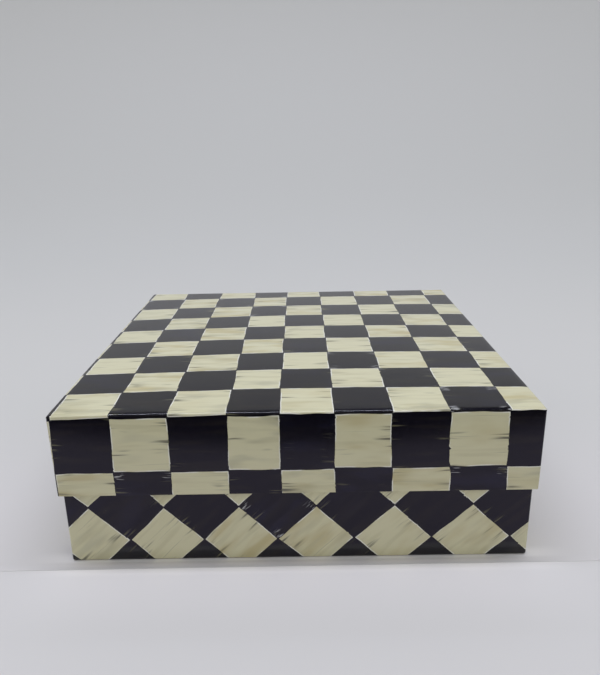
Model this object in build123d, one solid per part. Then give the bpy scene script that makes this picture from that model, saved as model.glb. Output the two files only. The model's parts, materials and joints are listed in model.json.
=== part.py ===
"""Rigid paperboard box with a deep lift-off lid, in millimetres.

The box is a tray and a lid that slides down over it. Both are the same construction: five greyboard
panels butted together, a paper stay glued round each upright corner, a printed paper wrap that covers
the outside and turns in over the rim, and a plain paper lining inside. The tray's wrap turns under the
floor as a border, and a foot sheet covers the middle and the border's raw edges. The closed lid rests
on the tray's rim, under the lid's lining.

Frame: +Z up, the front towards -Y, the origin on the table under the middle of the closed box.
"""

import os

from build123d import *

# The closed box, outside
LID_WIDTH = 280.0  # left to right
LID_DEPTH = 280.0  # front to back
CLOSED_HEIGHT = 97.0  # table to the lid's top
LID_HEIGHT = 51.0  # the lid's lower edge to its top

# Thickness of each kind of stock
BOARD = 1.5  # greyboard
WRAP = 0.2  # printed and laminated paper
LINING = 0.15  # uncoated paper
STAY = 0.15  # gummed kraft paper, pressed flush into the board
FOOT = 0.2  # plain paper under the tray

# How the stock is folded
FOLD_RADIUS = 1.4  # outside of the wrap, along the long folds and up the corners
RIM_RADIUS = 0.5  # outside of the wrap, where it turns over a rim
TURN_IN = 16.0  # width of the wrap inside the rim
TURN_UNDER = 15.0  # width of the wrap under the tray's floor
LINING_SETBACK = 4.0  # from the rim down to the lining's edge
STAY_LEG = 20.0  # width of a stay on each side of its corner
STAY_SETBACK = 2.0  # from the board's rim to the end of a stay
FOOT_MARGIN = 5.0  # from the tray's outer face to the foot sheet's edge

# How the lid fits
LID_CLEARANCE = 0.4  # each side, between the lid's lining and the tray's wrap

# Worked out: the tray fits inside the lid's walls, and its rim carries the lid's top
LID_WALL = WRAP + BOARD + WRAP + LINING
LID_TOP = WRAP + BOARD + LINING
TRAY_WIDTH = LID_WIDTH - 2 * (LID_WALL + LID_CLEARANCE)
TRAY_DEPTH = LID_DEPTH - 2 * (LID_WALL + LID_CLEARANCE)
TRAY_HEIGHT = CLOSED_HEIGHT - LID_TOP - FOOT


def block(width, depth, low, high):
    """A sharp block round the Z axis, from one height to another."""
    return Pos(0, 0, (low + high) / 2) * Box(width, depth, high - low)


def span(x0, x1, y0, y1, low, high):
    """A sharp block between six limits."""
    return Pos((x0 + x1) / 2, (y0 + y1) / 2, (low + high) / 2) * Box(x1 - x0, y1 - y0, high - low)


def hollowed(body, cavity, rim_radius):
    """The body less its cavity, with the inner edge of the rim rounded."""
    shell = body - cavity
    rim = shell.faces().sort_by(Axis.Z)[-1]
    return fillet(rim.inner_wires()[0].edges(), rim_radius)


class Tray:
    """One half of the box, with its closed face at z = 0 and its rim at z = height."""

    def __init__(self, width, depth, height):
        self.width = width
        self.depth = depth
        self.height = height
        self.floor_top = WRAP + BOARD
        self.turn_in_end = height - TURN_IN
        self.inner_width = width - 2 * (WRAP + BOARD)
        self.inner_depth = depth - 2 * (WRAP + BOARD)

    def room(self, inset, low, high):
        """The space between the wall boards, drawn in by an inset."""
        return block(self.inner_width - 2 * inset, self.inner_depth - 2 * inset, low, high)

    def envelope(self, inset):
        """The closed outside, drawn in by an inset from the wrap's outer face.

        Its upright and lower edges have the fold's radius, and its rim the rim's, less the inset."""
        body = block(self.width - 2 * inset, self.depth - 2 * inset, inset, self.height - inset)
        folds = body.edges().filter_by(Axis.Z) + body.faces().sort_by(Axis.Z)[0].edges()
        body = fillet(folds, FOLD_RADIUS - inset)
        return fillet(body.faces().sort_by(Axis.Z)[-1].edges(), RIM_RADIUS - inset)

    def board_shell(self):
        """All five panels as one shape, before it is cut into panels."""
        cavity = self.room(0, self.floor_top, self.height)
        return hollowed(self.envelope(WRAP), cavity, RIM_RADIUS - WRAP)

    def stays(self):
        """Four L-shaped strips, let into the boards' outer faces at the upright corners."""
        low, high = FOLD_RADIUS, self.height - WRAP - STAY_SETBACK
        skin = self.envelope(WRAP) - self.envelope(WRAP + STAY)
        x, y = self.width / 2, self.depth / 2
        left, right = (-x, -x + WRAP + STAY_LEG), (x - WRAP - STAY_LEG, x)
        front, back = (-y, -y + WRAP + STAY_LEG), (y - WRAP - STAY_LEG, y)
        corners = {
            "front_left": left + front,
            "front_right": right + front,
            "back_left": left + back,
            "back_right": right + back,
        }
        return {f"corner_stay_{name}": skin & span(*limits, low, high) for name, limits in corners.items()}

    def boards(self, stays, closed_name):
        """The closed panel between four walls. The front and back walls run the full width."""
        shell = self.board_shell()
        for stay in stays.values():
            shell -= stay
        x, y, z = self.width / 2, self.depth / 2, self.height
        wall_x, wall_y = self.inner_width / 2, self.inner_depth / 2
        return {
            closed_name: shell & self.room(0, 0, self.floor_top),
            "front_board": shell & span(-x, x, -y, -wall_y, 0, z),
            "back_board": shell & span(-x, x, wall_y, y, 0, z),
            "left_board": shell & span(-x, -wall_x, -wall_y, wall_y, 0, z),
            "right_board": shell & span(wall_x, x, -wall_y, wall_y, 0, z),
        }

    def wrap(self):
        """The paper skin: outside, over the rim and down the inner faces as far as the turn-in."""
        cavity = self.room(WRAP, self.floor_top, self.height)
        skin = hollowed(self.envelope(0), cavity, RIM_RADIUS) - self.board_shell()
        return skin - self.room(0, self.floor_top, self.turn_in_end)

    def lining(self):
        """The inner sheet: floor and walls, stepping over the turn-in and stopping short of the rim."""
        top = self.height - LINING_SETBACK
        outside = self.room(0, self.floor_top, self.turn_in_end) + self.room(WRAP, self.turn_in_end, top)
        step = self.turn_in_end - LINING
        inside = self.room(LINING, self.floor_top + LINING, step) + self.room(WRAP + LINING, step, top)
        return outside - inside


def tray_parts():
    """The lower half, standing on its foot sheet."""
    tray = Tray(TRAY_WIDTH, TRAY_DEPTH, TRAY_HEIGHT)
    stays = tray.stays()
    window_width = TRAY_WIDTH - 2 * TURN_UNDER
    window_depth = TRAY_DEPTH - 2 * TURN_UNDER
    window = block(window_width, window_depth, 0, WRAP)
    parts = {"wrap": tray.wrap() - window, "lining": tray.lining()}
    parts |= stays | tray.boards(stays, "floor_board")
    # The foot sheet lies on the turned-under border and steps up to the board inside it
    border = block(TRAY_WIDTH - 2 * FOOT_MARGIN, TRAY_DEPTH - 2 * FOOT_MARGIN, -FOOT, 0)
    hollow = block(window_width - 2 * FOOT, window_depth - 2 * FOOT, -FOOT, WRAP - FOOT)
    parts["foot_sheet"] = border + window - hollow
    return {f"tray_{name}": Pos(0, 0, FOOT) * part for name, part in parts.items()}


def lid_parts():
    """The upper half: the same construction turned over."""
    lid = Tray(LID_WIDTH, LID_DEPTH, LID_HEIGHT)
    stays = lid.stays()
    parts = {"wrap": lid.wrap(), "lining": lid.lining()}
    parts |= stays | lid.boards(stays, "top_board")
    top = Pos(0, 0, CLOSED_HEIGHT)
    return {f"lid_{name}": top * mirror(part, about=Plane.XY) for name, part in parts.items()}


def main():
    os.makedirs("parts", exist_ok=True)
    for name, part in (tray_parts() | lid_parts()).items():
        export_step(part, f"parts/{name}.step")
        size = part.bounding_box().size
        print(f"{name:32s} {len(part.solids())} solid  {size.X:7.2f} {size.Y:7.2f} {size.Z:7.2f}")


main()
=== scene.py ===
"""The looks of a rigid paperboard box with a deep lift-off lid, in metres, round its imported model.

Each wrap and lining is worked out as the sheet of paper that it is: a section across the fold, the wall
and the rim is carried round the outline of the walls. A UV map named "print" gives each point's place on
the flat sheet, in squares of the print, so that one material prints the lid's squares and the tray's
diamonds.
"""

import json
import math

import bmesh
import bpy
import numpy as np
from mathutils import Matrix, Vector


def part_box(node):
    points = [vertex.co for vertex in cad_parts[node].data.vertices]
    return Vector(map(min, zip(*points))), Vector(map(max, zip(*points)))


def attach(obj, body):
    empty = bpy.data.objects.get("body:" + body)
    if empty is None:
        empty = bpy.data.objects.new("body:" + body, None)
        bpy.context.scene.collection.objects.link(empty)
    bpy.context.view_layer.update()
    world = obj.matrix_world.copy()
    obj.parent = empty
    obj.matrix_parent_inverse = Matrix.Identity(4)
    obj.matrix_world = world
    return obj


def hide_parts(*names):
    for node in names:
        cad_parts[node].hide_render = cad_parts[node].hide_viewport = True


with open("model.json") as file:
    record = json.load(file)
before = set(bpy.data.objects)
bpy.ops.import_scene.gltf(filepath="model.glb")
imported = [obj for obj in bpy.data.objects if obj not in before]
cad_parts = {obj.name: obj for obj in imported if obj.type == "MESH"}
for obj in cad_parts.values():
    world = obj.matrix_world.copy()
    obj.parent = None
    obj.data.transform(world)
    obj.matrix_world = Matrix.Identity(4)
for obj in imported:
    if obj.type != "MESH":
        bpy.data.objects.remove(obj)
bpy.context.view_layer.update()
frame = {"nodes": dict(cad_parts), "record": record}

MM = 0.001

# The picture, 600 by 675, was taken a third of a metre in front of the box and a little above it
CAMERA_PLACE = (4.7 * MM, -465.0 * MM, 246.8 * MM)
CAMERA_TURN = 0.295  # degrees to the left of straight back
CAMERA_TILT = 17.993  # degrees below level
CAMERA_ROLL = -1.028  # degrees, anticlockwise
FOCAL_LENGTH = 34.01  # for a sensor of 36 along the picture's long side

# Stock, and how it is folded
BOARD = 1.5 * MM
WRAP = 0.2 * MM
LINING = 0.15 * MM
FOLD_RADIUS = 0.9 * MM
RIM_RADIUS = 0.5 * MM
LINING_RADIUS = 0.8 * MM
TURN_IN = 16 * MM
TURN_UNDER = 15 * MM
LINING_SETBACK = 4 * MM
TAB = 13 * MM  # how far a flap's glued tab runs on under the next flap
TAB_EASE = 2 * MM  # over which the flap comes down off the tab's end
CUT_GAP = 0.4 * MM  # from the corner's bend to the cut edge of the flap that covers the tab
EDGE_LIFT = 0.08 * MM  # how far that edge has curled up, over
EDGE_CURL = 1.5 * MM
LIFT_EASE = 4 * MM  # over which a covering flap comes down again as it turns in at the rim

# How finely the sheets are drawn
MESH_STEP = 4 * MM
BOARD_STEP = 3 * MESH_STEP
TURN_POINTS = 7  # round a quarter turn
HAIR = 1e-7  # a length that counts as none
SAME_PLACE = 0.001 * MM  # points closer than this are joined
SHARP_ANGLE = 40  # degrees, from which a fold is drawn as an edge

# Slow waves where the paper stands off its board, the length of one, and how they die out at the rim
COVER_WAVES = 0.15 * MM
LINING_WAVES = 0.05 * MM
WAVE_LENGTH = 70 * MM
WAVES_EASE = 8 * MM

# The lid's top is bowed up in its middle, as glued board dries. Its front fold rises with it between the
# corners, which hold it down, the side folds less and less towards the back, and its board is crushed a
# little along all four
CROWN = 1.65 * MM
FOLD_BOW = 0.5 * MM
FOLD_BOW_REACH = 12 * MM  # down the walls
SHOULDER = 0.2 * MM
SHOULDER_WIDTH = 3 * MM

# The print's lines on the lid's sheet, each at a few places along it: the columns' under and over the row
# line on the front flap, at the front fold and at the back, and the rows' at the left, in the middle and at
# the right
CHECK = 32.7 * MM
COLUMN_PLACES = [-177 * MM, -172 * MM, -139 * MM, 139 * MM]
COLUMN_LINES = MM * np.array(
    [
        [-139.8, -105.5, -73.0, -38.9, -9.3, 22.3, 54.5, 88.7, 120.6],
        [-139.4, -105.8, -72.1, -39.6, -9.0, 21.3, 54.3, 86.6, 120.8],
        [-137.9, -104.6, -72.2, -38.6, -9.4, 21.7, 53.9, 86.1, 119.8],
        [-137.9, -105.7, -73.2, -39.8, -9.9, 21.0, 53.5, 86.1, 119.3],
    ]
)
ROW_PLACES = [-139 * MM, 0, 139 * MM]
ROW_LINES = MM * np.array(
    [
        [-175.5, -142.0, -109.8, -78.0, -46.5, -13.7, 16.6, 48.2, 81.4, 114.4],
        [-174.8, -140.9, -107.0, -75.7, -44.0, -12.4, 19.6, 51.4, 84.4, 116.8],
        [-174.8, -140.5, -108.4, -76.7, -44.0, -11.2, 18.9, 51.6, 84.4, 117.9],
    ]
)
# The tray's squares stand on their points. These are the places along its front where four meet, in the
# upper and the lower row by turns
DIAMOND_LINES = MM * np.array(
    [-124.2, -100.6, -79.5, -56.7, -34.8, -12.1, 10.8, 33.4, 57.0, 79.8, 103.5, 126.7]
)
DIAMOND_WIDTH = 45.5 * MM
DIAMOND_HEIGHT = 44.8 * MM
DIAMOND_UP = 13.7 * MM  # to the lower row
DIAMOND_SLANT = -0.004  # the rows run down a little to the right

# The floor's sheet ends just in front of the box, a little out of square with it, and curves up far behind
# it. The front sheet lies under its end
SHEET_END = -145.5 * MM
SHEET_SLANT = 0.0046
SHEET_THICKNESS = 0.2 * MM
SWEEP_WIDTH = 6.0
SWEEP_BEND_START = 0.3
SWEEP_BEND = 2.5
SWEEP_DROP = 0.05 * MM  # under the tray's foot
FRONT_SHEET_DROP = 0.26 * MM
FRONT_SHEET_START = -1.2

# What the film mirrors: two cards, the lower one with a black disc whose edge fades in, and cool lamps
FLOOR_CARD_UP = 0.2 * MM
ROOF_CARD_UP = 1.7
DISC_MIDDLE = (0, -1.067, 0)
DISC_EDGE = (0.79, 0.77)
LAMP_COLOUR = (0.95, 0.98, 1.18)


def linear(code):
    """The linear colour of an sRGB hex code."""
    parts = [int(code[i : i + 2], 16) / 255 for i in (1, 3, 5)]
    return tuple(c / 12.92 if c <= 0.04045 else ((c + 0.055) / 1.055) ** 2.4 for c in parts) + (1.0,)


def add(tree, kind, inputs=None, **settings):
    """Adds a shader node with its settings. An input given a node or a socket is linked to it."""
    made = tree.nodes.new("ShaderNode" + kind)
    for name, value in settings.items():
        setattr(made, name, value)
    for name, value in (inputs or {}).items():
        if isinstance(value, bpy.types.Node):
            value = value.outputs[0]
        if isinstance(value, bpy.types.NodeSocket):
            tree.links.new(value, made.inputs[name])
        else:
            made.inputs[name].default_value = value
    return made


# Paper as surfaces


def smooth(share):
    """An even ease from 0 to 1 as the share goes from 0 to 1."""
    share = np.clip(share, 0, 1)
    return share * share * (3 - 2 * share)


def spread(breaks, step):
    """Break points with even ones between them, none further apart than the step."""
    runs = [np.linspace(a, b, int(np.ceil((b - a) / step)) + 1)[:-1] for a, b in zip(breaks, breaks[1:])]
    return np.concatenate([*runs, breaks[-1:]])


def quarter(depth, height, radius, start):
    """A quarter turn about a centre, clockwise from a direction in degrees."""
    turn = np.radians(start - np.linspace(0, 90, TURN_POINTS))
    return np.stack([depth + radius * np.cos(turn), height + radius * np.sin(turn)], 1)


class Section:
    """A path across a folded sheet, in depth from the outside and height from the closed face.

    It starts level, heading outwards. Each point has its distance along the path and the direction that
    the sheet's good side looks in: outwards where facing is 1, and into the box where it is -1."""

    def __init__(self, facing, *stretches):
        corners = np.concatenate([np.atleast_2d(stretch) for stretch in stretches])
        steps = np.hypot(*np.diff(corners, axis=0).T)
        corners = corners[np.concatenate([[True], steps > HAIR])]
        along = np.concatenate([[0], np.cumsum(steps[steps > HAIR])])
        self.facing = facing
        self.along = spread(along, MESH_STEP)
        self.points = np.stack([np.interp(self.along, along, corners[:, k]) for k in (0, 1)], 1)
        heading = np.gradient(self.points, self.along, axis=0)
        heading[0] = (-1, 0)
        heading /= np.linalg.norm(heading, axis=1, keepdims=True)
        self.looks = facing * np.stack([-heading[:, 1], heading[:, 0]], 1)

    def before_end(self, distance, ease):
        """1 for most of the path, easing down to 0 at a distance before its end."""
        return smooth((self.along[-1] - self.along - distance) / ease)[:, None]


class Outline:
    """The rounded rectangle of a box's walls, unrolled from the middle of its front, anticlockwise."""

    def __init__(self, half, radius):
        self.half = half
        self.radius = radius
        self.core = half - radius
        self.bend = radius * math.pi / 2
        a, b = self.core
        self.knots = np.cumsum([0, a, self.bend, 2 * b, self.bend, 2 * a, self.bend, 2 * b, self.bend, a])
        self.round = self.knots[-1]
        self.middles = self.knots[[0, 2, 4, 6]] + [0, b, a, b]

    def ring(self, around, depth):
        """Points at distances round the outline, drawn in by a depth, and the directions of its sides.

        Each is a core point and what is left of the corner's radius beyond it. Past that radius the core
        itself is drawn in, so its corner stays sharp."""
        a, b = self.core
        around = np.mod(around, self.round)
        x = np.interp(around, self.knots, [0, a, a, a, a, -a, -a, -a, -a, 0])
        y = np.interp(around, self.knots, [-b, -b, -b, b, b, b, b, -b, -b, -b])
        angle = np.radians(np.interp(around, self.knots, [-90, -90, 0, 0, 90, 90, 180, 180, 270, 270]))
        side = np.stack([np.cos(angle), np.sin(angle)], -1)
        depth = depth[..., None]
        limit = self.half - np.maximum(depth, self.radius)
        core = np.clip(np.stack([x, y], -1), -limit, limit)
        return core + np.maximum(self.radius - depth, 0) * side, side

    def stations(self, start, end):
        """Distances round the outline from one place to another, closest together round the corners."""
        nearby = SHOULDER_WIDTH * np.array([0.15, 0.35, 0.65, 1])
        turn = np.concatenate([-nearby[::-1], np.linspace(0, self.bend, TURN_POINTS), self.bend + nearby])
        bends = np.concatenate([knot + turn for knot in self.knots[1:8:2]])
        marks = np.concatenate([bends - self.round, bends, bends + self.round])
        marks = marks[(marks > start + HAIR) & (marks < end - HAIR)]
        return spread(np.concatenate([[start], marks, [end]]), MESH_STEP)


def waves(points, seed):
    """Slow unevenness from 0 to 1: the mean of six sines in random directions."""
    rng = np.random.default_rng(seed)
    turns = rng.normal(size=(3, 6)) * math.pi / WAVE_LENGTH
    return 0.5 + 0.5 * np.sin(points @ turns + rng.uniform(0, 2 * math.pi, 6)).mean(-1)


def covering(from_cut):
    """How far a flap or strip is lifted at a distance from its cut edge: over what it is glued on, and a
    little more where the edge has curled up."""
    over_tab = WRAP * smooth((TAB + TAB_EASE - from_cut) / TAB_EASE)
    return over_tab + EDGE_LIFT * smooth(1 - from_cut / EDGE_CURL)


class Sheet:
    """A sheet of paper, gathered patch by patch from grids of points and made one thin closed piece."""

    def __init__(self, turned=False):
        self.turned = turned
        self.points, self.faces, self.places, self.kinds = [], [], [], []
        self.count = 0

    def patch(self, points, places, kind=0, turned_over=False):
        """Adds a grid of points[row, column] with their places on the flat sheet and its material."""
        rows, columns = points.shape[:2]
        index = self.count + np.arange(rows * columns).reshape(rows, columns)
        corners = [index[:-1, :-1], index[:-1, 1:], index[1:, 1:], index[1:, :-1]]
        faces = np.stack(corners, -1).reshape(-1, 4)
        self.points.append(points.reshape(-1, 3))
        self.places.append(places.reshape(-1, 2))
        self.faces.append(faces[:, ::-1] if self.turned != turned_over else faces)
        self.kinds.append(np.full(len(faces), kind))
        self.count += rows * columns

    def piece(self, name, thickness, materials, in_squares):
        """Joins the patches where they meet and thickens the sheet on its far side."""
        faces = np.concatenate(self.faces)
        flat = bpy.data.meshes.new(name + "_flat")
        flat.from_pydata(np.concatenate(self.points), [], faces)
        flat.polygons.foreach_set("material_index", np.concatenate(self.kinds).astype(np.int32))
        places = in_squares(np.concatenate(self.places))[faces.ravel()]
        flat.uv_layers.new(name="print").uv.foreach_set("vector", places.astype(np.float32).ravel())
        shell = bmesh.new()
        shell.from_mesh(flat)
        bmesh.ops.remove_doubles(shell, verts=shell.verts, dist=SAME_PLACE)
        shell.to_mesh(flat)
        shell.free()
        for material in materials:
            flat.materials.append(material)
        made = bpy.data.objects.new(name, flat)
        bpy.context.scene.collection.objects.link(made)
        thick = made.modifiers.new("thickness", "SOLIDIFY")
        thick.thickness = thickness
        thick.offset = -1
        thick.material_offset = thick.material_offset_rim = len(materials) - 1
        bpy.context.view_layer.update()
        thickened = made.evaluated_get(bpy.context.evaluated_depsgraph_get())
        made.data = bpy.data.meshes.new_from_object(thickened)
        made.modifiers.clear()
        made.data.name = name
        made.data.shade_smooth()
        made.data.set_sharp_from_angle(angle=math.radians(SHARP_ANGLE))
        bpy.data.meshes.remove(flat)
        return made


class Half:
    """The lid or the tray, with heights counted from its closed face to its rim."""

    def __init__(self, name, closed_board, seed):
        low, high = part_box(f"{name}_wrap")
        board_low, board_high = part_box(f"{name}_{closed_board}")
        self.seed = seed
        self.up = 1 if name == "tray" else -1
        bow = (0, 0, 0) if name == "tray" else (CROWN, FOLD_BOW, SHOULDER)
        self.crown, self.fold_bow, self.shoulder = bow
        self.closed_z = low.z if self.up > 0 else high.z
        self.height = high.z - low.z
        self.half = np.array([high.x - low.x, high.y - low.y]) / 2
        self.half_inside = np.array([board_high.x - board_low.x, board_high.y - board_low.y]) / 2
        self.wall = self.half[0] - self.half_inside[0] + WRAP
        self.floor = abs((board_high if self.up > 0 else board_low).z - self.closed_z)

    def outer_section(self, start):
        """The wrap's outside, from a depth on the closed face to the end of its turn-in."""
        rim = self.height - RIM_RADIUS
        return Section(
            1,
            (start, 0),
            quarter(FOLD_RADIUS, FOLD_RADIUS, FOLD_RADIUS, 270),
            quarter(RIM_RADIUS, rim, RIM_RADIUS, 180),
            quarter(self.wall - RIM_RADIUS, rim, RIM_RADIUS, 90),
            (self.wall, self.height - TURN_IN),
        )

    def inner_section(self):
        """The lining's inside, from the foot of the walls, over the turn-in, to just short of the rim."""
        step = self.height - TURN_IN
        bend = LINING + LINING_RADIUS
        return Section(
            -1,
            quarter(bend, self.floor + bend, LINING_RADIUS, 270),
            (LINING, step - LINING_RADIUS),
            (LINING + WRAP, step),
            (LINING + WRAP, self.height - LINING_SETBACK),
        )

    def fold_rise(self, flat, core):
        """How far the bow lifts the folds and all between them. It fades evenly from the whole bow at the
        front to nothing at the back, and it falls off steeply to nothing at the corners of the core: the
        sixth power of the two shares of the way there, multiplied."""
        share = np.clip(flat / core, -1, 1)
        return self.fold_bow * (1 - share[..., 1]) / 2 * (1 - share.prod(-1) ** 6)

    def bowed(self, flat, core, height):
        """Points of the closed panel at a height. Its crown is a parabola each way, from nothing at the
        edges of the core, and the two are multiplied. Its shoulder falls off to those edges as a square,
        and it rises with its folds."""
        crushed = np.clip(1 - (core - abs(flat)).min(-1) / SHOULDER_WIDTH, 0, 1)
        rise = self.crown * (1 - (flat / core) ** 2).prod(-1) + self.shoulder * (1 - crushed**2)
        rise += self.fold_rise(flat, core)
        return np.dstack([flat, self.closed_z + self.up * (height - rise)])

    def closed_board(self):
        """The board of the closed panel, bowed with the paper on it."""
        ends = SHOULDER_WIDTH * np.array([0, 0.5, 1, 1.5])
        breaks = [np.concatenate([ends - half, half - ends[::-1]]) for half in self.half_inside]
        flat = np.dstack(np.meshgrid(*(spread(line, BOARD_STEP) for line in breaks)))
        sheet = Sheet(turned=self.up < 0)
        sheet.patch(self.bowed(flat, self.half - FOLD_RADIUS, WRAP), flat, turned_over=True)
        return sheet

    def carried(self, outline, section, around, size, lift=0.0):
        """A section carried round an outline. It rises with the folds, less and less down the walls, and
        it is off its board by a lift and by waves that stop at the rim."""
        flat, side = outline.ring(around, section.points[:, :1])
        by_the_fold = 1 - smooth(section.along / FOLD_BOW_REACH)
        rise = self.fold_rise(flat, outline.core) * by_the_fold[:, None]
        heights = self.closed_z + self.up * (section.points[:, 1:] - rise)
        points = np.dstack([flat, heights])
        out = -section.looks[:, :1, None] * side
        normal = np.dstack([out, np.broadcast_to(self.up * section.looks[:, 1:], heights.shape)])
        raised = size * waves(points, self.seed) * section.before_end(TURN_IN, WAVES_EASE) + lift
        return points + raised[..., None] * normal

    def folded(self, outline, section, size):
        """One cross-shaped sheet: a panel and four flaps. The front and back flaps run on round the corners
        as glued tabs, and the side flaps cover the tabs with a cut edge just past each corner."""
        sheet = Sheet(turned=self.up * section.facing < 0)
        a, b = outline.core
        tabbed, cut = a + outline.bend + CUT_GAP, b - CUT_GAP
        flaps, arounds = [], []
        for side, middle in enumerate(outline.middles):
            outwards = np.array([(0, -1), (1, 0), (0, 1), (-1, 0)][side])
            onwards = np.array([-outwards[1], outwards[0]])
            reach, core, covers = (cut, a, 1) if side % 2 else (tabbed, b, 0)
            around = outline.stations(middle - reach, middle + reach)
            lifted = covers * covering(reach - abs(around - middle))
            past_fold = smooth(section.along / (FOLD_RADIUS * math.pi / 2))[:, None]
            lift = lifted * past_fold * section.before_end(TURN_IN, LIFT_EASE)
            points = self.carried(outline, section, around, size, lift)
            out = (core + section.along)[:, None, None] * outwards
            places = out + (around - middle)[None, :, None] * onwards
            sheet.patch(points, places)
            flaps.append((points, places))
            arounds.append(around - middle)
        for flap, following in zip(flaps, flaps[1:] + flaps[:1]):
            sheet.patch(*(np.stack([a[:, -1], b[:, 0]], 1) for a, b in zip(flap, following)), kind=1)
        x = arounds[0][abs(arounds[0]) < a + HAIR]
        y = np.concatenate([[-b], arounds[1], [b]])
        flat = np.dstack(np.meshgrid(x, y))
        points = self.bowed(flat, outline.core, section.points[0, 1])
        points[..., 2] += size * waves(points, self.seed) * self.up * section.looks[0, 1]
        sheet.patch(points, flat, turned_over=True)
        return sheet

    def banded(self, outline, section, size):
        """One strip round the walls. It starts and ends on the left, just past the back corner, where the
        end that was glued last lies over the start with a cut edge."""
        sheet = Sheet(turned=self.up * section.facing < 0)
        seam = outline.middles[3] - outline.core[1] + CUT_GAP
        around = outline.stations(seam - outline.round, seam)
        lift = covering(seam - around) * section.before_end(TURN_IN, LIFT_EASE)
        points = self.carried(outline, section, around, size, lift)
        up_wall = section.along - section.along[np.argmin(abs(section.points[:, 1] - FOLD_RADIUS))]
        places = np.dstack(np.meshgrid(around, self.closed_z + FOLD_RADIUS + up_wall))
        sheet.patch(points, places)
        sheet.patch(points[:, [-1, 0]], places[:, [-1, 0]], kind=1)
        return sheet


def squares_from(place, across, places, lines, first):
    """Squares counted along the sheet: whole numbers fall on the print's lines, even past the last."""
    knots = np.stack([np.interp(across, places, line) for line in lines.T], 1)
    more = CHECK * np.arange(1, 5)
    knots = np.concatenate([knots[:, :1] - more[::-1], knots, knots[:, -1:] + more], 1)
    below = np.clip((knots <= place[:, None]).sum(1) - 1, 0, knots.shape[1] - 2)
    row = np.arange(len(place))
    low, high = knots[row, below], knots[row, below + 1]
    return below + (place - low) / (high - low) - len(more) + first


def lid_squares(place):
    """The lid's print: squares in rows and columns, of uneven widths."""
    x, y = place.T
    columns = squares_from(x, y, COLUMN_PLACES, COLUMN_LINES, 1)
    return np.stack([columns, squares_from(y, x, ROW_PLACES, ROW_LINES, -1)], 1)


def tray_squares(place):
    """The tray's print: squares on their points, uneven along the front and even round the rest."""
    last = len(DIAMOND_LINES) / 2 - 1
    more = 20
    even = more * DIAMOND_WIDTH
    knots = np.concatenate([DIAMOND_LINES[:1] - even, DIAMOND_LINES, DIAMOND_LINES[-1:] + even])
    counts = np.concatenate([[-0.5 - more], np.arange(-0.5, last + 0.1, 0.5), [last + more]])
    across = np.interp(place[:, 0], knots, counts)
    up = (place[:, 1] - DIAMOND_UP - DIAMOND_SLANT * place[:, 0]) / DIAMOND_HEIGHT
    return np.stack([across + up, up - across], 1)


def even_squares(place):
    """Plain sheets have no print, and are counted in even squares."""
    return place / CHECK


# Materials


def new_material(name):
    """An empty material with one shader."""
    made = bpy.data.materials.new(name)
    made.use_nodes = True
    made.node_tree.nodes.clear()
    shader = add(made.node_tree, "BsdfPrincipled")
    add(made.node_tree, "OutputMaterial", {"Surface": shader})
    return made, made.node_tree, shader


def coats(tree, ground, *laid):
    """A ground colour with coats laid over it. Each has a colour, how much of it covers, and its patterns,
    each with the values between which it lets the coat appear."""
    colour = linear(ground)
    for code, cover, *patterns in laid:
        for pattern, low, high in patterns:
            inputs = {"Value": pattern, "From Min": low, "From Max": high}
            shown = add(tree, "MapRange", inputs, interpolation_type="SMOOTHSTEP")
            cover = add(tree, "Math", {0: shown, 1: cover}, operation="MULTIPLY")
        colour = add(tree, "MixRGB", {"Fac": cover, "Color1": colour, "Color2": linear(code)})
    return colour


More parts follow.
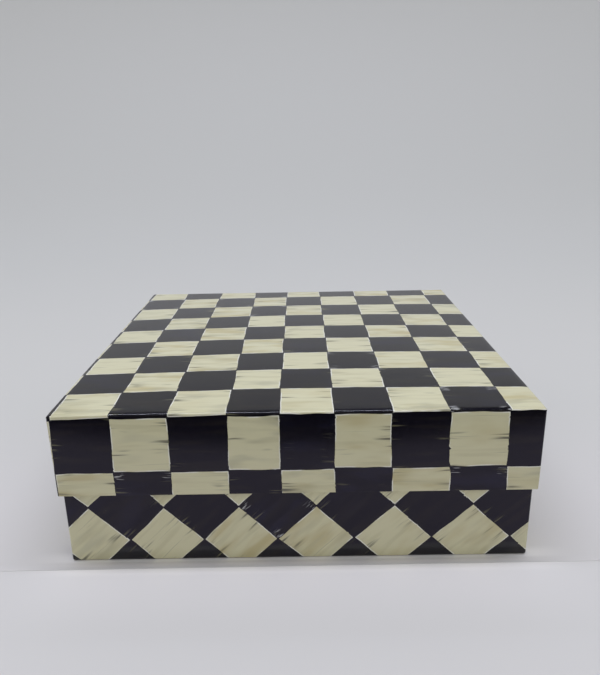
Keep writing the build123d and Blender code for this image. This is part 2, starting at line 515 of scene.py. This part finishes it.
def laminated_print():
    """Art paper printed with black and ivory squares and laminated with a clear film.

    The squares were painted with a flat brush drawn along their rows, the black last and a little over the
    ivory. Each has its own thin warm and cool washes, and here and there dry hairs drag one colour into the
    other. The drawing is even within half a millimetre or so. A fine painted light line, a bright edge halo
    rather than the paper's own colour, lies here and there along the black."""
    made, tree, shader = new_material("laminated_print")
    sheet = add(tree, "UVMap", uv_map="print")

    def brushed(place, length, width, detail=1.0):
        """Noise drawn out along the brush's way, with a length and a width in metres."""
        scale = (CHECK / length, CHECK / width, 1)
        inputs = {"Vector": add(tree, "VectorMath", {0: place, 1: scale}, operation="MULTIPLY")}
        return add(tree, "TexNoise", inputs | {"Scale": 1.0, "Detail": detail}, noise_dimensions="2D")

    # The hand's drift, and the few places where the brush was lifted and its hairs left a ragged end
    drift = add(tree, "TexNoise", {"Vector": sheet, "Scale": 1.7, "Detail": 1.5}, noise_dimensions="2D")
    shift = add(tree, "VectorMath", {0: drift.outputs["Color"], 1: (0.5, 0.5, 0.5)}, operation="SUBTRACT")
    inputs = {0: shift, 1: (0.04, 0.04, 0), 2: sheet}
    drifted = add(tree, "VectorMath", inputs, operation="MULTIPLY_ADD")
    lifted = brushed(sheet, 14 * MM, 6 * MM)
    inputs = {"Value": lifted, "From Min": 0.62, "From Max": 0.8, "To Min": 0.01, "To Max": 0.1}
    reach = add(tree, "MapRange", inputs)
    hairs = add(tree, "Math", {0: brushed(sheet, 16 * MM, 1.4 * MM, 1.5), 1: 0.5}, operation="SUBTRACT")
    ragged = add(tree, "Math", {0: hairs, 1: reach}, operation="MULTIPLY")
    inputs = {0: drifted, 1: add(tree, "CombineXYZ", {"X": ragged})}
    place = add(tree, "VectorMath", inputs, operation="ADD")

    # Which square, what it drew at random, and how far from its middle each way
    square = add(tree, "VectorMath", {0: place}, operation="FLOOR")
    chance = add(tree, "TexWhiteNoise", {"Vector": square}).outputs["Color"]
    drawn = add(tree, "SeparateXYZ", {0: chance}).outputs
    within = add(tree, "VectorMath", {0: place}, operation="FRACTION")
    inside = add(tree, "VectorMath", {0: within, 1: (0.5, 0.5, 0)}, operation="SUBTRACT")
    away = add(tree, "VectorMath", {0: inside}, operation="ABSOLUTE")
    off_middle = add(tree, "SeparateXYZ", {0: away}).outputs
    edge = add(tree, "Math", {0: off_middle["X"], 1: off_middle["Y"]}, operation="MAXIMUM")
    corner = add(tree, "Math", {0: off_middle["X"], 1: off_middle["Y"]}, operation="MINIMUM")
    ivory_reach = 0.488  # of a square, from its middle to where the black is laid over it
    bare = add(tree, "Math", {0: edge, 1: ivory_reach}, operation="LESS_THAN")
    checks = add(tree, "TexChecker", {"Vector": place, "Scale": 1.0}).outputs["Fac"]
    ivory = add(tree, "Math", {0: checks, 1: bare}, operation="MULTIPLY")

    # Each square's own strokes
    own = add(tree, "VectorMath", {0: chance, 1: (41, 23, 0), 2: place}, operation="MULTIPLY_ADD")
    other = add(tree, "VectorMath", {0: own, 1: (7.3, 3.1, 0)}, operation="ADD")
    wash, second_wash = brushed(own, 38 * MM, 11 * MM, 2.0), brushed(other, 34 * MM, 9 * MM, 2.0)
    stroke = brushed(other, 44 * MM, 4.5 * MM)
    drag = brushed(own, 32 * MM, 1.8 * MM, 2.0)
    cluster = brushed(other, 44 * MM, 6 * MM)
    line = brushed(own, 80 * MM, 1.0 * MM)
    fleck = brushed(own, 8 * MM, 1.0 * MM)
    broken = brushed(sheet, 16 * MM, 16 * MM)

    ivory_paint = coats(
        tree,
        "#DAD6B3",
        ("#B9A971", 0.65, (wash, 0.4, 0.78), (drawn["X"], 0.1, 1.0)),
        ("#A5A48F", 0.55, (second_wash, 0.46, 0.8), (drawn["Y"], 0.1, 1.0)),
        ("#BAB48E", 0.3, (stroke, 0.5, 0.75)),
        ("#77776E", 0.4, (line, 0.74, 0.82)),
        ("#484842", 0.8, (drag, 0.46, 0.68), (cluster, 0.53, 0.66), (off_middle["X"], 0.1, 0.45)),
        # A painted light line along the black, a bright edge halo, broken here and there
        ("#F6F6EE", 0.75, (edge, 0.466, 0.474), (broken, 0.42, 0.58)),
    )
    black_paint = coats(
        tree,
        "#0D0B16",
        ("#26221E", 0.45, (stroke, 0.45, 0.7)),
        ("#1B1B31", 0.6, (second_wash, 0.45, 0.7), (drawn["X"], 0.3, 0.8)),
        ("#8E8B68", 0.6, (drag, 0.5, 0.74), (cluster, 0.58, 0.72), (off_middle["X"], 0.2, 0.47)),
        ("#BDBEBE", 0.8, (fleck, 0.56, 0.68), (corner, 0.3, 0.42), (drawn["Y"], 0.78, 0.84)),
    )
    colour = add(tree, "MixRGB", {"Fac": ivory, "Color1": black_paint, "Color2": ivory_paint})
    tree.links.new(colour.outputs[0], shader.inputs["Base Color"])

    # The film takes up the paper's tooth as a slight orange peel
    peel = brushed(sheet, 3.5 * MM, 3 * MM)
    bump = add(tree, "Bump", {"Height": peel, "Distance": 0.02 * MM, "Strength": 0.3})
    tree.links.new(bump.outputs[0], shader.inputs["Normal"])
    inputs = {"Value": peel, "From Min": 0.3, "From Max": 0.7, "To Min": 0.15, "To Max": 0.18}
    rough = add(tree, "MapRange", inputs)
    tree.links.new(rough.outputs[0], shader.inputs["Roughness"])
    shader.inputs["IOR"].default_value = 1.5

    # A trace of fine dust, seen only along the surface
    shader.inputs["Sheen Weight"].default_value = 0.1
    shader.inputs["Sheen Roughness"].default_value = 0.3
    return made


def fibrous(name, ground, tints, fibre, roughness):
    """Paper or board with fibres of a length in metres, and tints: a colour, its share, and its grain."""
    made, tree, shader = new_material(name)
    place = add(tree, "TexCoord").outputs["Object"]
    laid = []
    for tint, share, grain in tints:
        spots = add(tree, "TexNoise", {"Vector": place, "Scale": 1 / grain, "Detail": 3.0})
        laid.append((tint, share, (spots, 0.45, 0.75)))
    colour = coats(tree, ground, *laid)
    tree.links.new(colour.outputs[0], shader.inputs["Base Color"])
    felt = add(tree, "TexNoise", {"Vector": place, "Scale": 1 / fibre, "Detail": 5.0, "Distortion": 1.5})
    bump = add(tree, "Bump", {"Height": felt, "Distance": 0.04 * MM, "Strength": 0.6})
    tree.links.new(bump.outputs[0], shader.inputs["Normal"])
    shader.inputs["Roughness"].default_value = roughness
    return made


def uncoated_papers():
    """The plain stocks under and inside the print."""
    return {
        # The white core of the art paper, seen where it is cut
        "cut_edge": fibrous("cut_art_paper", "#D9D6CB", [("#B5B0A2", 0.5, 0.6 * MM)], 0.3 * MM, 0.8),
        # Cream woodfree lining with a soft, cloudy formation
        "lining_paper": fibrous(
            "uncoated_lining_paper",
            "#E3DFD2",
            [("#D6D0BF", 0.7, 14 * MM), ("#CBC4B2", 0.6, 0.9 * MM)],
            0.7 * MM,
            0.85,
        ),
        # Dyed black paper, slightly dusty
        "foot_paper": fibrous("dyed_foot_paper", "#1B1B1D", [("#2B2A2B", 0.8, 0.8 * MM)], 0.6 * MM, 0.75),
        # Grey chipboard from recycled pulp, flecked with old print and light fibre
        "greyboard": fibrous(
            "recycled_greyboard",
            "#8F8980",
            [("#A39D92", 0.6, 6 * MM), ("#5E5A55", 0.7, 0.8 * MM), ("#C2BCB0", 0.6, 0.5 * MM)],
            0.9 * MM,
            0.9,
        ),
        # Brown kraft with long fibres and a dull gummed face
        "kraft_stay": fibrous(
            "gummed_kraft",
            "#AA8459",
            [("#8E6A45", 0.6, 2.5 * MM), ("#C29C70", 0.5, 0.7 * MM)],
            0.8 * MM,
            0.6,
        ),
    }


# The object


def dress(papers):
    """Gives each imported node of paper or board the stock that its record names."""
    slots = {row["node"]: row["material_slot"] for row in frame["record"]["subparts"]}
    for name, node in frame["nodes"].items():
        if slots[name] in papers:
            node.data.materials.clear()
            node.data.materials.append(papers[slots[name]])


def box_papers():
    """The four sheets of paper and the lid's bowed board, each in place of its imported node."""
    papers = uncoated_papers()
    dress(papers)
    covers = [laminated_print(), papers["cut_edge"]]
    linings = [papers["lining_paper"]]
    for name, closed_board, seed in (("tray", "floor_board", 3), ("lid", "top_board", 8)):
        half = Half(name, closed_board, seed)
        outside = Outline(half.half, FOLD_RADIUS)
        inside = Outline(half.half_inside, LINING + LINING_RADIUS)
        if name == "lid":
            cover = half.folded(outside, half.outer_section(FOLD_RADIUS), COVER_WAVES)
            squares = lid_squares
        else:
            cover = half.banded(outside, half.outer_section(TURN_UNDER), COVER_WAVES)
            squares = tray_squares
        lining = half.folded(inside, half.inner_section(), LINING_WAVES)
        made = {
            "wrap": cover.piece(f"{name}_cover", WRAP, covers, squares),
            "lining": lining.piece(f"{name}_inner_paper", LINING, linings, even_squares),
        }
        if half.crown:
            board, stock = half.closed_board(), [papers["greyboard"]]
            made["top_board"] = board.piece("lid_top_panel", BOARD, stock, even_squares)
        for kind, piece in made.items():
            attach(piece, name)
            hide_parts(f"{name}_{kind}")


# The studio


def sweep():
    """A paper sweep: a floor that curves up into a wall, drawn as one profile along its width, and graded
    cooler beside the box and up the wall.
    The paler grade high on the wall is painted light that makes up for the lamps' falloff there. Its front
    end lies on a second sheet. In front of the box both carry painted light and shade over the box's
    shadow: on the sweep's last millimetres, painted light by the box and painted shade at its end, and on
    the front sheet, painted light in front of the box that grows paler still towards its edge."""
    sides = SWEEP_WIDTH * np.array([-0.5, 0.5])
    turn = np.radians(np.linspace(-90, -5, 60))
    y = np.concatenate([[SHEET_END], SWEEP_BEND_START + SWEEP_BEND * np.cos(turn)])
    z = np.concatenate([[0], SWEEP_BEND + SWEEP_BEND * np.sin(turn)]) - SWEEP_DROP
    slant = SHEET_SLANT * (y == SHEET_END)
    rolled = np.stack([np.stack([np.full(len(y), x), y + slant * x, z], 1) for x in sides], 1)
    flat = np.array([[(x, y, -FRONT_SHEET_DROP) for x in sides] for y in (FRONT_SHEET_START, 0)])
    # The paper's grade from front to back, in part painted light: the paler grade high on the wall makes up
    # for the lamps' falloff there
    to_the_back = [("#D1D0CB", -0.12, 0.1), ("#CDCDC9", 0.2, 0.8), ("#DCDCDA", 0.9, 2.1)]
    for name, points, ground in (("sweep", rolled, "#D8D5D2"), ("front_sheet", flat, "#D6D4D0")):
        made, tree, shader = new_material(f"{name}_paper")
        place = add(tree, "SeparateXYZ", {0: add(tree, "TexCoord").outputs["Object"]}).outputs
        back = place["Y"]
        across = add(tree, "Math", {0: place["X"]}, operation="ABSOLUTE")
        beside_box = (across, 0.17, 0.12)
        if name == "sweep":
            painted_light_and_grades = [(code, 1.0, (back, near, far)) for code, near, far in to_the_back]
            # Painted light on the strip between the box and the sweep's end, lifting the box's shadow
            # there, then painted shade darkening its last millimetres
            painted_light_and_grades += [
                ("#F0EDEA", 1.0, (back, -0.1415, -0.138), (back, -0.128, -0.135), beside_box),
                ("#C5C2C0", 1.0, (back, -0.1415, -0.1455), beside_box),
            ]
        else:
            # Painted light on the front sheet: lighter in front of the box, lifting the box's shadow, and
            # paler still by its edge
            painted_light_and_grades = [
                ("#E7E4E1", 1.0, (back, -0.205, -0.145), (across, 0.2, 0.1)),
                ("#EEEBE7", 1.0, (back, -0.1535, -0.1475), beside_box),
            ]
        colour = coats(tree, ground, *painted_light_and_grades)
        tree.links.new(colour.outputs[0], shader.inputs["Base Color"])
        shader.inputs["Roughness"].default_value = 0.9
        sheet = Sheet()
        sheet.patch(points, points[..., :2])
        sheet.piece(name, SHEET_THICKNESS, [made], even_squares)


def dim_cards():
    """Two cards that are seen only in reflections. One lies in front of the box, grey with a big black
    disc, and one hangs above it, black."""
    for name, ground, height, (left, front), (right, back) in (
        ("floor_card", "#B9B0BF", FLOOR_CARD_UP, (-1.2, -1.2), (1.2, -0.15)),
        ("roof_card", "#040404", ROOF_CARD_UP, (-1.5, -3.0), (1.5, 2.3)),
    ):
        made, tree, shader = new_material(name)
        place = add(tree, "TexCoord").outputs["Object"]
        from_middle = add(tree, "VectorMath", {0: place, 1: DISC_MIDDLE}, operation="DISTANCE")
        colour = coats(tree, ground, ("#040404", 1.0, (from_middle.outputs["Value"], *DISC_EDGE)))
        tree.links.new(colour.outputs[0], shader.inputs["Base Color"])
        shader.inputs["Roughness"].default_value = 1.0
        corners = np.array([[(x, y, height) for x in (left, right)] for y in (front, back)])
        sheet = Sheet()
        sheet.patch(corners, corners[..., :2])
        card = sheet.piece(name, SHEET_THICKNESS / 2, [made], even_squares)
        card.visible_camera = card.visible_diffuse = card.visible_shadow = False


def lights():
    """A long lamp high overhead and a narrow one behind it that only glints on the folds, in a grey room
    that is brighter above."""
    for name, place, size, power in (
        ("overhead", (0, -0.032, 2.0), (2.5, 0.2), 18.0),
        ("glint", (-0.15, 0.75, 1.5), (1.1, 0.05), 16.0),
    ):
        lamp = bpy.data.lights.new(name, "AREA")
        lamp.shape = "RECTANGLE"
        lamp.size, lamp.size_y = size
        lamp.energy = power
        lamp.color = LAMP_COLOUR
        placed = bpy.data.objects.new(name, lamp)
        placed.location = place
        placed.rotation_euler.x = -math.atan2(place[1], place[2])
        placed.visible_diffuse = name == "overhead"
        bpy.context.scene.collection.objects.link(placed)
    world = bpy.data.worlds.new("room")
    world.use_nodes = True
    tree = world.node_tree
    tree.nodes.clear()
    way = add(tree, "SeparateXYZ", {0: add(tree, "TexCoord").outputs["Generated"]})
    colour = coats(tree, "#8C8980", ("#D6D8DC", 1.0, (way.outputs["Z"], 0.0, 0.9)))
    add(tree, "OutputWorld", {"Surface": add(tree, "Background", {"Color": colour})})
    bpy.context.scene.world = world


def camera():
    """The picture's camera."""
    made = bpy.data.objects.new("camera", bpy.data.cameras.new("camera"))
    made.data.sensor_fit = "AUTO"
    made.data.sensor_width = 36
    made.data.lens = FOCAL_LENGTH
    turn = Matrix.Rotation(math.radians(CAMERA_TURN), 4, "Z")
    tilt = Matrix.Rotation(math.radians(90 - CAMERA_TILT), 4, "X")
    roll = Matrix.Rotation(math.radians(CAMERA_ROLL), 4, "Z")
    made.matrix_world = Matrix.Translation(CAMERA_PLACE) @ turn @ tilt @ roll
    bpy.context.scene.collection.objects.link(made)
    bpy.context.scene.camera = made


def main():
    box_papers()
    sweep()
    dim_cards()
    lights()
    camera()
    bpy.context.scene.view_settings.view_transform = "Standard"


main()
